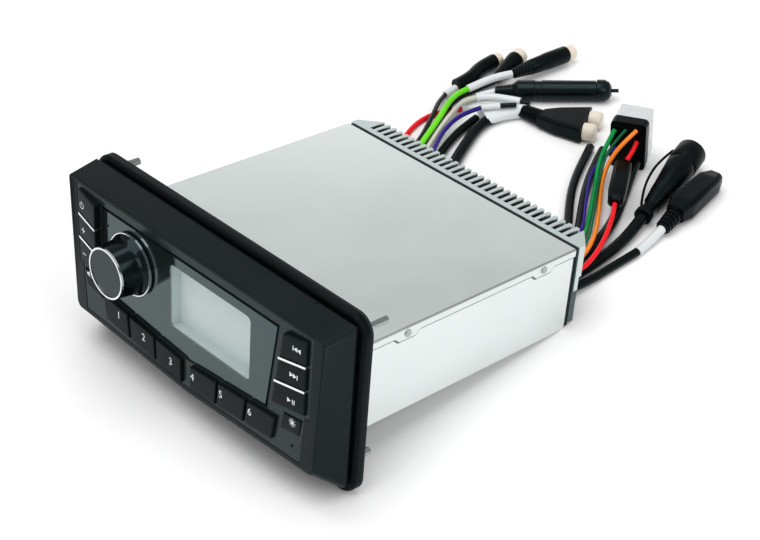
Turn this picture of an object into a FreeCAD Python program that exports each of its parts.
import FreeCAD, Part
import Sketcher
import math
import os

# Marine stereo: a flush-mount receiver with a black bezel, a volume knob, keys and a display in front,
# a sheet steel chassis behind the panel, and a finned heat sink with its leads at the rear.
# Lengths are millimetres. The unit is drawn square to its chassis: X to the right as seen from the front,
# Y to the rear, Z up, with Y = 0 at the face that the panel touches. The stance at the end tips it
# back onto the bench, where it rests on the foot of its flange and the rear edge of its chassis.

doc = FreeCAD.newDocument("marine_stereo")
sheet = doc.addObject("Spreadsheet::Sheet", "Sizes")


class Size:
    """A number that remembers the cells it is worked out from, so that a property can be bound to it."""

    def __init__(self, number, text):
        self.number = float(number)
        self.text = text

    def __add__(self, other):
        other = sized(other)
        return Size(self.number + other.number, f"({self.text} + {other.text})")

    def __sub__(self, other):
        other = sized(other)
        return Size(self.number - other.number, f"({self.text} - {other.text})")

    def __mul__(self, other):
        other = sized(other)
        return Size(self.number * other.number, f"({self.text} * {other.text})")

    def __truediv__(self, other):
        other = sized(other)
        return Size(self.number / other.number, f"({self.text} / {other.text})")

    def __radd__(self, other):
        return sized(other) + self

    def __rsub__(self, other):
        return sized(other) - self

    def __rmul__(self, other):
        return sized(other) * self

    def __neg__(self):
        return sized(0) - self

    def __float__(self):
        return self.number


def sized(value):
    return value if isinstance(value, Size) else Size(value, f"{float(value):.6f}")


def size(alias, value, words):
    """One driving size: a row of the sheet with its words, its number and its alias."""
    size.row += 1
    sheet.set(f"A{size.row}", words)
    sheet.set(f"B{size.row}", str(value))
    sheet.setAlias(f"B{size.row}", alias)
    return Size(value, f"Sizes.{alias}")


size.row = 0

# Chassis
chassis_width = size("chassis_width", 178, "width over the top cover")
chassis_height = size("chassis_height", 50, "height over the top cover")
chassis_depth = size("chassis_depth", 158.2, "panel face to the rear edge of the cover")
sheet_steel = size("sheet_steel", 1.0, "thickness of the chassis and cover sheet")
cover_play = size("cover_play", 0.1, "gap between the cover's lip and the tray")
lip_drop = size("lip_drop", 4.5, "depth of the cover's side lip")
tab_drop = size("tab_drop", 7.1, "depth of the cover's side lip at a tab")
tab_width = size("tab_width", 11, "width of a tab at its foot")
tab_slope = size("tab_slope", 3, "length of a tab's sloping end")
front_tab = size("front_tab", 36.8, "panel face to the middle of the front tabs")
rear_tab = size("rear_tab", 133.7, "panel face to the middle of the rear tabs")
rivet_radius = size("rivet_radius", 1.0, "radius of the cover's rivets")
rivet_play = size("rivet_play", 0.05, "clearance of the rivets")
rivet_tail = size("rivet_tail", 1, "rivet's tail inside the tray")
rivet_head = size("rivet_head", 0.5, "height of a rivet's head")
cover_front = size("cover_front", 0.3, "panel face to the cover's front edge")
cover_bend = size("cover_bend", 0.9, "outer radius of the cover's bends")
rivet_drop = size("rivet_drop", 3.7, "depth of the rivets below the cover's top")

# Flange and gasket
flange_width = size("flange_width", 205.6, "width of the mounting flange")
flange_height = size("flange_height", 101.2, "height of the mounting flange")
flange_corner = size("flange_corner", 10, "corner radius of the flange")
flange_thick = size("flange_thick", 4.4, "thickness of the flange plate")
flange_edge = size("flange_edge", 2.0, "rounding of the flange's front edge")
gasket_thick = size("gasket_thick", 1.6, "thickness of the panel gasket")
neck_length = size("neck_length", 2.5, "groove between flange and trim")
neck_inset = size("neck_inset", 1.6, "depth of the groove between flange and trim")
stud_radius = size("stud_radius", 2.0, "radius of the mounting studs")
stud_edge = size("stud_edge", 7.8, "side edge of the flange to the middle of the studs")
stud_top = size("stud_top", 41, "height of the upper studs above the chassis centre")
stud_low = size("stud_low", -33, "height of the lower studs")

flange_window_margin = size("flange_window_margin", 5, "flange's opening inside the chassis")
stud_long = size("stud_long", 15, "reach of the upper studs behind the panel face")
stud_short = size("stud_short", 10, "reach of the lower studs behind the panel face")
stud_seat = size("stud_seat", 3.4, "depth of the studs' threads in the flange")
thread_play = size("thread_play", 0.02, "clearance of the studs' threads")
stud_neck = size("stud_neck", 1.7, "radius of the studs' threaded necks")
stud_neck_end = size("stud_neck_end", 0.2, "panel face to the studs' full shanks")
gasket_play = size("gasket_play", 0.6, "gasket's opening round the chassis")
flange_screw_side = size("flange_screw_side", 85, "flange screws, from the middle")
flange_screw_up = size("flange_screw_up", 16, "flange screws, from the middle height")

# Trim bezel
trim_depth = size("trim_depth", 26, "panel face to the rim of the trim")
trim_width = size("trim_width", 200, "width of the trim at its rear")
trim_top = size("trim_top", 48, "top of the trim at its rear")
trim_low = size("trim_low", -45.5, "bottom of the trim at its rear")
rim_top_width = size("rim_top_width", 197, "width of the rim at its top")
rim_low_width = size("rim_low_width", 189, "width of the rim at its bottom corners")
rim_top = size("rim_top", 45.2, "top of the rim")
rim_corner = size("rim_corner", -32, "height of the rim's bottom corners")
rim_apex = size("rim_apex", -36.4, "lowest point of the rim, in its middle")
trim_top_corner = size("trim_top_corner", 2, "rounding of the trim's upper corners")
trim_low_corner = size("trim_low_corner", 4.5, "rounding of the trim's lower corners")
trim_wall = size("trim_wall", 2.8, "thickness of the trim's walls")
rim_edge = size("rim_edge", 0.8, "rounding of the rim")
ledge_thick = size("ledge_thick", 2.0, "thickness of the ledge that carries the fascia")

# Fascia, lens and display
fascia_gap = size("fascia_gap", 0.35, "gap between the rim and the fascia")
fascia_thick = size("fascia_thick", 2.4, "thickness of the fascia")
fascia_sink = size("fascia_sink", 0.2, "how far the fascia lies behind the rim")
fascia_top = size("fascia_top", 43.2, "top edge of the fascia")
fascia_top_half = size("fascia_top_half", 91, "half width of the fascia at its top")
fascia_bank_half = size("fascia_bank_half", 90.4, "half width of the fascia below the key banks")
fascia_step_half = size("fascia_step_half", 87.4, "half width of the fascia under the step")
fascia_low_half = size("fascia_low_half", 85.2, "half width of the fascia at its bottom corners")
fascia_step = size("fascia_step", -1.6, "height of the step in the fascia's sides")
fascia_corner = size("fascia_corner", -29.4, "height of the fascia's bottom corners")
fascia_apex = size("fascia_apex", -33.2, "lowest point of the fascia")
ledge = size("ledge", 0.9, "width of the ledge that carries the fascia")
lens_thick = size("lens_thick", 1.0, "thickness of the lens plate")
lens_sink = size("lens_sink", 0.8, "how far the lens lies behind the fascia's face")
lens_left = size("lens_left", -70.6, "left edge of the lens")
lens_top = size("lens_top", 36.7, "top edge of the lens")
lens_right_top = size("lens_right_top", 65, "right edge of the lens at its top")
lens_right_low = size("lens_right_low", 58.2, "right edge of the lens at its bottom")
lens_low = size("lens_low", -16.9, "bottom of the lens in its middle")
lens_slot = size("lens_slot", 2.4, "width of the slot over and beside the lens")
lens_fit = size("lens_fit", 0.15, "clearance round the lens")
window_left = size("window_left", -15.6, "left edge of the display window")
window_right = size("window_right", 46.0, "right edge of the display window")
window_top = size("window_top", 31.6, "top edge of the display window")
window_low = size("window_low", -4.6, "bottom edge of the display window")
window_corner = size("window_corner", 3, "corner radius of the display window")
display_sink = size("display_sink", 6.8, "how far the display lies behind the window's face")
display_wall = size("display_wall", 1.2, "wall of the frame round the display")
display_margin = size("display_margin", 0.6, "display module beyond its frame")
pane_play = size("pane_play", 0.1, "clearance round the clear pane")
display_thick = size("display_thick", 3.4, "thickness of the display module")
mic_radius = size("mic_radius", 0.9, "radius of the reset hole")
mic_side = size("mic_side", 79.6, "reset hole, right of the middle")
mic_low = size("mic_low", -22.5, "reset hole, height")

# Boards behind the fascia
board_thick = size("board_thick", 1.6, "thickness of the circuit boards")
front_board_half = size("front_board_half", 82, "half width of the front board")
front_board_top = size("front_board_top", 38, "top of the front board")
front_board_low = size("front_board_low", -27, "bottom of the front board")
mat_thick = size("mat_thick", 1.6, "thickness of the keypad mat")
mat_margin = size("mat_margin", 2, "keypad mat inside the edge of the board")
pillar_radius = size("pillar_radius", 3.2, "radius of the pillars under the front board")
pillar_side = size("pillar_side", 76, "pillars, from the middle")
pillar_top = size("pillar_top", 32, "upper pillars, height")
pillar_thread = size("pillar_thread", 5, "depth of the pillars' threads")
pillar_low = size("pillar_low", -23.4, "lower pillars, height")

frame_screw_head = size("frame_screw_head", 1.6, "thickness of the board screws' heads")

# Keys
key_travel = size("key_travel", 0.8, "travel of a key")
key_play = size("key_play", 0.25, "clearance between a key and its hole")
key_rest_gap = size("key_rest_gap", 0.2, "gap between a pressed key and the mat")
key_foot = size("key_foot", 0.6, "how far a key's foot reaches behind the fascia")
foot_gap = size("foot_gap", 0.05, "gap between a key's foot and the fascia")
key_foot_thick = size("key_foot_thick", 1.4, "thickness of a key's foot")
key_edge = size("key_edge", 0.7, "rounding of a key's front edges")
preset_face = size("preset_face", 27.8, "panel face to the face of the preset keys")
preset_first = size("preset_first", 3.8, "inner edge of the inmost preset keys")
preset_width = size("preset_width", 20.4, "width of a preset key")
preset_pitch = size("preset_pitch", 22.1, "pitch of the preset keys")
preset_top = size("preset_top", -18.2, "top of the preset row in the middle")
preset_height = size("preset_height", 13.6, "height of a preset key")
row_slope = size("row_slope", 0.09, "rise of the preset row towards its ends")
preset_draw_ratio = size("preset_draw_ratio", 0.964, "how far the lower corners of the preset keys draw in")
bank_face = size("bank_face", 28.3, "panel face to the face of the side keys")
bank_outer = size("bank_outer", 88.2, "outer edge of the side keys")
left_inner = size("left_inner", 72.2, "inner edge of the left keys")
right_inner_top = size("right_inner_top", 73.0, "inner edge of the right keys at the top")
right_inner_low = size("right_inner_low", 66.8, "inner edge of the right keys at the bottom")
bank_top = size("bank_top", 41.4, "top of the side keys at their outer edge")
bank_split_one = size("bank_split_one", 27.2, "first bar at the outer edge")
bank_split_two = size("bank_split_two", 13.6, "second bar at the outer edge")
bank_low = size("bank_low", 0.2, "bottom of the side keys at their outer edge")
bank_fall = size("bank_fall", 2.6, "fall of the side keys towards the middle")
bar_thick = size("bar_thick", 1.2, "thickness of a trim bar")
bar_proud = size("bar_proud", 0.35, "how far a trim bar stands over the keys")
flat_key_face = size("flat_key_face", 26.5, "panel face to the face of the mute and dimmer keys")
flat_key_outer = size("flat_key_outer", 86.0, "outer edge of the mute and dimmer keys")
flat_key_inner = size("flat_key_inner", 73.0, "inner edge of the mute and dimmer keys")
flat_key_top = size("flat_key_top", -4.4, "top of those keys at their outer edge")
flat_key_height = size("flat_key_height", 9.6, "height of those keys")
flat_key_fall = size("flat_key_fall", 2.2, "fall of those keys towards the middle")
flat_key_lean = size("flat_key_lean", 1.8, "lean of those keys' sides")
bank_slant = size("bank_slant", 2.0, "how far the side keys' faces fall back to their outer edge")

# Knob and encoder
knob_side = size("knob_side", -45.7, "knob axis, from the middle")
knob_height = size("knob_height", 16.8, "knob axis, height")
knob_front = size("knob_front", 41.8, "panel face to the front of the knob")
knob_rear = size("knob_rear", 26.2, "panel face to the rear of the knob")
knob_front_radius = size("knob_front_radius", 13.6, "radius of the front ring")
knob_rear_radius = size("knob_rear_radius", 16.8, "radius of the rear ring")
knob_waist = size("knob_waist", 14.9, "radius of the knob where it starts to flare")
knob_flare = size("knob_flare", 2.4, "length of the knob's flare")
ring_width = size("ring_width", 1.2, "width of the knob's rings along the axis")
ring_thick = size("ring_thick", 0.9, "thickness of the knob's rings")
shaft_radius = size("shaft_radius", 3.0, "radius of the encoder shaft")
shaft_play = size("shaft_play", 0.06, "running clearance of the shaft")
plunger_radius = size("plunger_radius", 3.6, "radius of the encoder's plunger")
plunger_length = size("plunger_length", 2.2, "length of the encoder's plunger")
plunger_play = size("plunger_play", 0.1, "running clearance of the plunger")
plunger_room = size("plunger_room", 0.3, "room behind the pressed plunger")
encoder_floor = size("encoder_floor", 0.8, "thickness of the encoder's floor")
shaft_top = size("shaft_top", 3, "how far the shaft ends behind the knob's front")
knob_wall = size("knob_wall", 2.4, "wall of the knob's skirt")
knob_crown = size("knob_crown", 4, "thickness of the knob behind its face")
knob_hub = size("knob_hub", 5.5, "radius of the knob's hub")
hub_rear = size("hub_rear", 1.6, "how far the hub ends in front of the knob's rear")
face_thick = size("face_thick", 1.0, "thickness of the knob's face disc")
face_sink = size("face_sink", 0.5, "how far the face disc lies behind the front ring")
push_travel = size("push_travel", 0.7, "push travel of the knob")
encoder_width = size("encoder_width", 14, "width of the encoder")
encoder_thick = size("encoder_thick", 7, "thickness of the encoder")
bush_radius = size("bush_radius", 4.4, "radius of the encoder bush")
bush_play = size("bush_play", 0.6, "clearance round the encoder bush")
bush_length = size("bush_length", 2.4, "length of the encoder bush")

# Heat sink, glands and what is inside
seal_thick = size("seal_thick", 2.6, "thickness of the rear gasket")
sink_top = size("sink_top", 25, "top of the heat sink")
sink_screw_up = size("sink_screw_up", 1.6, "heat sink screws, height")
gusset_step = size("gusset_step", 0.5, "end block's flat beyond the last slot")
sink_thick = size("sink_thick", 4.7, "thickness of the heat sink's plate")
sink_height = size("sink_height", 19, "height of the heat sink's fins and plate")
fin_reach = size("fin_reach", 10.8, "reach of the fins behind the plate")
fin_pitch = size("fin_pitch", 5.07, "pitch of the fins")
fin_slot = size("fin_slot", 2.7, "width of the slots between the fins")
slot_count = size("slot_count", 31, "number of slots")
slot_first = size("slot_first", -76.9, "left side of the first slot")
slot_sink = size("slot_sink", 1.0, "how far the slots reach into the plate")
web_low = size("web_low", -2.0, "bottom of the heat sink's lower web")
web_thick = size("web_thick", 3.0, "thickness of the heat sink's lower web")
gland_low = size("gland_low", -23.5, "bottom of the gland plate")
gland_top = size("gland_top", -2.4, "top of the gland plate")
gland_thick = size("gland_thick", 4.4, "thickness of the gland plate")
gland_corner = size("gland_corner", 2.0, "rounding of the gland plate")
grommet_left = size("grommet_left", -66, "left grommet, from the middle")
grommet_right = size("grommet_right", 56, "right grommet, from the middle")
grommet_height = size("grommet_height", -13, "height of the grommets")
grommet_width = size("grommet_width", 38, "width of a grommet")
grommet_tall = size("grommet_tall", 15, "height of a grommet's body")
grommet_reach = size("grommet_reach", 4, "reach of a grommet behind the gland plate")
grommet_round = size("grommet_round", 2.5, "corner radius of a grommet")
main_board_low = size("main_board_low", -19, "underside of the main board")
main_board_half = size("main_board_half", 80, "half width of the main board")
main_board_front = size("main_board_front", 12, "panel face to the main board")
main_board_rear = size("main_board_rear", 156.5, "panel face to the main board's rear edge")
standoff_radius = size("standoff_radius", 3.0, "radius of the standoffs")
chip_width = size("chip_width", 30, "width of the amplifier chip")
chip_height = size("chip_height", 14, "height of the amplifier chip")
chip_low = size("chip_low", 6.6, "underside of the amplifier chip")
chip_thick = size("chip_thick", 6, "thickness of the amplifier chip")
chip_leg = size("chip_leg", 0.8, "thickness of the chip's legs")
chip_leg_count = size("chip_leg_count", 12, "number of the chip's legs")
chip_leg_pitch = size("chip_leg_pitch", 2.2, "pitch of the chip's legs")
chip_leg_back = size("chip_leg_back", 0.3, "legs, from the chip's front")
can_first = size("can_first", -52, "first capacitor, from the middle")
can_pitch = size("can_pitch", 22, "pitch of the capacitors")
can_count = size("can_count", 3, "number of capacitors")
can_back = size("can_back", 120, "panel face to the capacitors")
tuner_side = size("tuner_side", 34, "near side of the tuner can")
tuner_back = size("tuner_back", 92, "panel face to the tuner can")
can_radius = size("can_radius", 9, "radius of the capacitors")
can_height = size("can_height", 26, "height of the capacitors")
tuner_width = size("tuner_width", 42, "width of the tuner can")
tuner_length = size("tuner_length", 30, "length of the tuner can")
tuner_height = size("tuner_height", 14, "height of the tuner can")
screw_radius = size("screw_radius", 1.5, "radius of the screws")
screw_head = size("screw_head", 2.9, "radius of the screw heads")
screw_head_thick = size("screw_head_thick", 2.2, "thickness of the screw heads")
port_play = size("port_play", 0.3, "clearance round the grommets")
chip_window = size("chip_window", 3, "opening round the amplifier chip")
wall_port_low = size("wall_port_low", -21, "lower edge of the lead port in the rear wall")
wall_port_top = size("wall_port_top", -5, "upper edge of the lead port in the rear wall")
sink_screw_side = size("sink_screw_side", 72, "heat sink screws, from the middle")
gland_screw_side = size("gland_screw_side", 24, "gland plate screws, from the middle")
screw_reach = size("screw_reach", 6, "reach of the rear screws into the chassis")
board_screw_side = size("board_screw_side", 74, "standoffs, from the middle")
board_screw_front = size("board_screw_front", 20, "panel face to the front standoffs")
board_screw_rear = size("board_screw_rear", 140, "panel face to the rear standoffs")
screw_play = size("screw_play", 0.1, "clearance round a screw")

# Leads
red_wire = size("red_wire", 3.2, "thickness of the red wire on the left")
brown_wire = size("brown_wire", 3.0, "thickness of the brown wire")
lime_wire = size("lime_wire", 3.6, "thickness of the lime wire")
thin_wire = size("thin_wire", 2.8, "thickness of the grey, purple, green and right red wires")
orange_wire = size("orange_wire", 2.6, "thickness of the orange wire")
cream_wire = size("cream_wire", 2.4, "thickness of the cream wires")
violet_wire = size("violet_wire", 2.0, "thickness of the violet wire")
dark_green_wire = size("dark_green_wire", 1.8, "thickness of the dark green wire")
plug_cable = size("plug_cable", 4.6, "thickness of the cable of the tapered plug")
slim_cable = size("slim_cable", 5.4, "thickness of the thinner black cable to the twin plug")
thick_cable = size("thick_cable", 7.0, "thickness of the thicker black cables")
loom_cable = size("loom_cable", 6.6, "thickness of the jacketed cable to the multi-way connector")
network_cable = size("network_cable", 5.0, "thickness of the network cable")
red_sleeve = size("red_sleeve", 4.2, "thickness of the red wire's sleeve")
wire_sleeve = size("wire_sleeve", 5.0, "thickness of the white sleeves")
socket_sleeve = size("socket_sleeve", 4.6, "thickness of the aerial lead's sleeve")
label_sleeve = size("label_sleeve", 3.8, "thickness of the purple wire's label")
network_sleeve = size("network_sleeve", 5.4, "thickness of the network cable's white sleeve")
shrink_sleeve = size("shrink_sleeve", 5.4, "thickness of the black heat-shrink sleeves")
tip_sleeve = size("tip_sleeve", 3.2, "thickness of the black insulating tips")
lanyard_cord = size("lanyard_cord", 1.6, "thickness of the cap's lanyard")
lead_out = size("lead_out", 14, "straight run of a lead out of its grommet")
elbow_radius = size("elbow_radius", 4.8, "radius of the angled plug")
long_plug_radius = size("long_plug_radius", 5.6, "radius of the long plug")
taper_plug_radius = size("taper_plug_radius", 6.0, "radius of the tapered plug at its mouth")
cap_radius = size("cap_radius", 5.4, "radius of the cream caps")
cap_length = size("cap_length", 8, "length of the cream caps")
socket_radius = size("socket_radius", 6.7, "radius of the aerial socket")
round_cap_radius = size("round_cap_radius", 7, "radius of the round rubber cap")
fuse_width = size("fuse_width", 10.4, "width of the fuse holder")
remote_radius = size("remote_radius", 9.3, "radius of the remote plug's cap")
network_width = size("network_width", 15.5, "width of the network plug")
network_height = size("network_height", 12.5, "height of the network plug")
multi_width = size("multi_width", 22, "width of the multi-way connector")
multi_height = size("multi_height", 32, "height of the multi-way connector")
multi_plate = size("multi_plate", 7, "depth of the multi-way connector's black half")
multi_housing = size("multi_housing", 14, "depth of the multi-way connector's clear half")

doc.recompute()
print("sizes in the sheet:", size.row)

half_width = chassis_width / 2
half_height = chassis_height / 2

# How features are drawn. A front drawing lies square to Y and its height is the distance in front of the
# panel face, so what is behind the panel has a negative one. A top drawing is square to Z, a side one to X.
PLANES = {"front": "XZ_Plane", "top": "XY_Plane", "side": "YZ_Plane"}


def bind(thing, name, value):
    thing.setExpression(name, sized(value).text)


def new_body(label):
    body = doc.addObject("PartDesign::Body", "Body")
    body.Label = label
    return body


def draw(body, plane, height, loops, circles):
    """A drawing of closed loops of corners and of circles (across, up, radius), every number bound."""
    drawing = body.newObject("Sketcher::SketchObject", "Drawing")
    support = [item for item in body.Origin.OriginFeatures if item.Role == PLANES[plane]][0]
    drawing.AttachmentSupport = (support, [""])
    drawing.MapMode = "FlatFace"
    bind(drawing, "AttachmentOffset.Base.z", height)

    def fix(kind, target, value):
        index = drawing.addConstraint(Sketcher.Constraint(kind, *target, float(value)))
        bind(drawing, f"Constraints[{index}]", value)

    for loop in loops:
        first = drawing.GeometryCount
        corners = [(sized(across), sized(up)) for across, up in loop]
        for corner, following in zip(corners, corners[1:] + corners[:1]):
            start = FreeCAD.Vector(float(corner[0]), float(corner[1]), 0)
            end = FreeCAD.Vector(float(following[0]), float(following[1]), 0)
            drawing.addGeometry(Part.LineSegment(start, end))
        for step, (across, up) in enumerate(corners):
            line = first + step
            following = first + (step + 1) % len(corners)
            drawing.addConstraint(Sketcher.Constraint("Coincident", line, 2, following, 1))
            fix("DistanceX", (line, 1), across)
            fix("DistanceY", (line, 1), up)
    for across, up, radius in circles:
        across, up, radius = sized(across), sized(up), sized(radius)
        centre = FreeCAD.Vector(float(across), float(up), 0)
        ring = drawing.addGeometry(Part.Circle(centre, FreeCAD.Vector(0, 0, 1), float(radius)))
        fix("DistanceX", (ring, 3), across)
        fix("DistanceY", (ring, 3), up)
        fix("Radius", (ring,), radius)
    return drawing


def pad(body, plane, low, high, loops=(), circles=()):
    """Material between two heights of a plane."""
    feature = body.newObject("PartDesign::Pad", "Pad")
    feature.Profile = draw(body, plane, low, loops, circles)
    bind(feature, "Length", sized(high) - low)
    return feature


def cut(body, plane, low, high, loops=(), circles=()):
    """A pocket between two heights of a plane, which has to take material away."""
    doc.recompute()
    before = body.Shape.Volume
    feature = body.newObject("PartDesign::Pocket", "Pocket")
    feature.Profile = draw(body, plane, high, loops, circles)
    bind(feature, "Length", sized(high) - low)
    doc.recompute()
    if body.Shape.Volume > before - 1e-6:
        raise RuntimeError(f"a pocket of {body.Label} cuts nothing")
    return feature


def soften(body, radius, chosen):
    """Round the edges of a body for which chosen(edge) holds."""
    doc.recompute()
    base = body.Tip
    names = [f"Edge{number}" for number, edge in enumerate(base.Shape.Edges, 1) if chosen(edge)]
    if not names:
        raise RuntimeError(f"no edge of {body.Label} is there to round")
    feature = body.newObject("PartDesign::Fillet", "Fillet")
    feature.Base = (base, names)
    bind(feature, "Radius", radius)
    doc.recompute()
    return feature


def lies_at(edge, axis, place, slack=0.02):
    """Whether a whole edge lies on the plane where the axis (0, 1 or 2) has the place."""
    box = edge.BoundBox
    low = (box.XMin, box.YMin, box.ZMin)[axis]
    high = (box.XMax, box.YMax, box.ZMax)[axis]
    return abs(low - float(place)) < slack and abs(high - float(place)) < slack


def runs_along(edge, axis):
    """Whether an edge is straight and runs along an axis."""
    box = edge.BoundBox
    spans = [box.XLength, box.YLength, box.ZLength]
    along = spans.pop(axis)
    return along > 0.05 and max(spans) < 0.01


def rectangle(left, right, low, high):
    return [(left, low), (right, low), (right, high), (left, high)]


# Parts list: every sub-part, with its body or group, is stood on the bench at the end.
parts = []


def single(body):
    parts.append(body)
    return body


def group(label, members):
    """Pieces of one kind, kept as separate solids under one name."""
    bundle = doc.addObject("Part::Compound", "Group")
    bundle.Label = label
    bundle.Links = members
    parts.append(bundle)
    return bundle


def rod(radius, start, end, axis, across, up):
    """A round rod between two heights along an axis: "front" runs forwards, "top" runs up."""
    rod_solid = doc.addObject("Part::Cylinder", "Rod")
    turn = {"front": FreeCAD.Rotation(FreeCAD.Vector(1, 0, 0), 90), "top": FreeCAD.Rotation()}[axis]
    rod_solid.Placement = FreeCAD.Placement(FreeCAD.Vector(), turn)
    bind(rod_solid, "Radius", radius)
    bind(rod_solid, "Height", sized(end) - start)
    bind(rod_solid, "Placement.Base.x", across)
    if axis == "front":
        bind(rod_solid, "Placement.Base.y", -sized(start))
        bind(rod_solid, "Placement.Base.z", up)
    else:
        bind(rod_solid, "Placement.Base.y", up)
        bind(rod_solid, "Placement.Base.z", start)
    return rod_solid


def fused(first, second):
    whole = doc.addObject("Part::Fuse", "Fuse")
    whole.Base = first
    whole.Tool = second
    return whole


def screw(start, seat, across, up, toward=1):
    """A pan-head screw along Y: its shank from start to seat, its head beyond the seat."""
    if toward > 0:
        shank = rod(screw_radius, start, seat, "front", across, up)
        head = rod(screw_head, seat, sized(seat) + screw_head_thick, "front", across, up)
    else:
        shank = rod(screw_radius, seat, start, "front", across, up)
        head = rod(screw_head, sized(seat) - screw_head_thick, seat, "front", across, up)
    return fused(shank, head)


# Flange, gasket and studs
flange_half = flange_width / 2
flange_up = flange_height / 2
flange_rear = gasket_thick
flange_front = gasket_thick + flange_thick
tray_half = half_width - sheet_steel - cover_play
window_half = tray_half - flange_window_margin
window_up = half_height - flange_window_margin
stud_half = flange_half - stud_edge
stud_places = [(side * stud_half, up) for up in (stud_top, stud_low) for side in (-1, 1)]
stud_ends = [stud_long, stud_long, stud_short, stud_short]
flange_screw_places = [(side * flange_screw_side, up * flange_screw_up) for side in (-1, 1) for up in (-1, 1)]
tray_front = flange_rear

flange = new_body("mounting_flange")
pad(flange, "front", flange_rear, flange_front, [rectangle(-flange_half, flange_half, -flange_up, flange_up)])
soften(flange, flange_corner, lambda edge: runs_along(edge, 1))
soften(flange, flange_edge, lambda edge: lies_at(edge, 1, -flange_front))
cut(flange, "front", flange_rear - 1, flange_front + 1,
    [rectangle(-window_half, window_half, -window_up, window_up)])
cut(flange, "front", flange_rear - 1, flange_rear + stud_seat, [],
    [(across, up, stud_neck + thread_play) for across, up in stud_places])
cut(flange, "front", flange_rear - 1, flange_front + 1, [],
    [(across, up, screw_radius + screw_play) for across, up in flange_screw_places])
single(flange)

gasket = new_body("flange_gasket")
pad(gasket, "front", 0, gasket_thick, [rectangle(-flange_half, flange_half, -flange_up, flange_up)])
soften(gasket, flange_corner, lambda edge: runs_along(edge, 1))
gasket_half = half_width + gasket_play
gasket_up = half_height + gasket_play
cut(gasket, "front", -1, gasket_thick + 1, [rectangle(-gasket_half, gasket_half, -gasket_up, gasket_up)])
cut(gasket, "front", -1, gasket_thick + 1, [],
    [(across, up, stud_radius + screw_play) for across, up in stud_places])
single(gasket)

neck_front = flange_rear + stud_seat - thread_play
studs = [
    fused(rod(stud_radius, -end, -stud_neck_end, "front", across, up),
          rod(stud_neck, -stud_neck_end, neck_front, "front", across, up))
    for (across, up), end in zip(stud_places, stud_ends)
]
group("mounting_studs", studs)

# Trim bezel: a tapered shell on a short neck, open behind, with a stepped opening for the fascia
neck_rear = flange_front
trim_rear = flange_front + neck_length
trim_half = trim_width / 2
rim_half = rim_top_width / 2
rim_low_half = rim_low_width / 2
trim_mouth = [(-trim_half, trim_low), (0, trim_low), (trim_half, trim_low), (trim_half, trim_top),
    (-trim_half, trim_top)]
rim = [(-rim_low_half, rim_corner), (0, rim_apex), (rim_low_half, rim_corner), (rim_half, rim_top),
    (-rim_half, rim_top)]
fascia_outline = [
    (-fascia_low_half, fascia_corner), (0, fascia_apex), (fascia_low_half, fascia_corner),
    (fascia_step_half, fascia_step), (fascia_bank_half, fascia_step),
    (fascia_top_half, fascia_top), (-fascia_top_half, fascia_top),
    (-fascia_bank_half, fascia_step), (-fascia_step_half, fascia_step),
]
fascia_face = trim_depth - fascia_sink
fascia_rear = fascia_face - fascia_thick


def moved(loop, outwards):
    """The same corners, each moved outwards by the same amount both ways."""
    shifted = []
    for across, up in loop:
        across, up = sized(across), sized(up)
        sideways = 0 if float(across) == 0 else math.copysign(1, float(across))
        upwards = 1 if float(up) > 0 else -1
        if up is fascia_step:
            upwards = -1
        shifted.append((across + sideways * sized(outwards), up + upwards * sized(outwards)))
    return shifted


trim = new_body("trim_bezel")
outer_loft = trim.newObject("PartDesign::AdditiveLoft", "Shell")
outer_loft.Profile = draw(trim, "front", trim_rear, [trim_mouth], [])
outer_loft.Sections = [draw(trim, "front", trim_depth, [rim], [])]
outer_loft.Ruled = True
trim_length = float(trim_depth - trim_rear)
soften(trim, trim_top_corner, lambda edge: abs(edge.BoundBox.YLength - trim_length) < 0.1
       and edge.CenterOfMass.z > 0)
soften(trim, trim_low_corner, lambda edge: abs(edge.BoundBox.YLength - trim_length) < 0.1
       and edge.CenterOfMass.z < 0 and abs(edge.CenterOfMass.x) > 1)
soften(trim, rim_edge, lambda edge: lies_at(edge, 1, -trim_depth))
pad(trim, "front", neck_rear, trim_rear,
    [rectangle(-trim_half + neck_inset, trim_half - neck_inset, trim_low + neck_inset,
    trim_top - neck_inset)])
hollow = trim.newObject("PartDesign::SubtractiveLoft", "Hollow")
hollow.Profile = draw(trim, "front", neck_rear, [moved(trim_mouth, -trim_wall)], [])
hollow.Sections = [draw(trim, "front", fascia_rear - ledge_thick, [moved(rim, -trim_wall)], [])]
hollow.Ruled = True
cut(trim, "front", fascia_rear, trim_depth + 1, [moved(fascia_outline, fascia_gap)])
cut(trim, "front", neck_rear - 1, fascia_rear, [moved(fascia_outline, -ledge)])
single(trim)


# Keys stand a stroke clear of the mat. Their outlines are seen from the front, and run
# counter-clockwise from the lower corner nearest the left
lens_face = fascia_face - lens_sink
display_face = lens_face - display_sink
display_rear = display_face - display_thick
board_front = display_rear
mat_front = board_front + mat_thick
key_rear = mat_front + key_travel + key_rest_gap


def preset_outline(number):
    """Preset keys follow a row that rises to its ends, and their sides lean a little to the middle."""
    near = preset_first + preset_pitch * (number - 4 if number > 3 else 3 - number)
    far = near + preset_width
    top_near = preset_top + row_slope * near
    top_far = preset_top + row_slope * far
    loop = [
        (near * preset_draw_ratio, top_near - preset_height),
        (far * preset_draw_ratio, top_far - preset_height),
        (far, top_far), (near, top_near),
    ]
    return loop if number > 3 else mirrored(loop)


def mirrored(loop):
    return [(-sized(across), up) for across, up in reversed(loop)]


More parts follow.
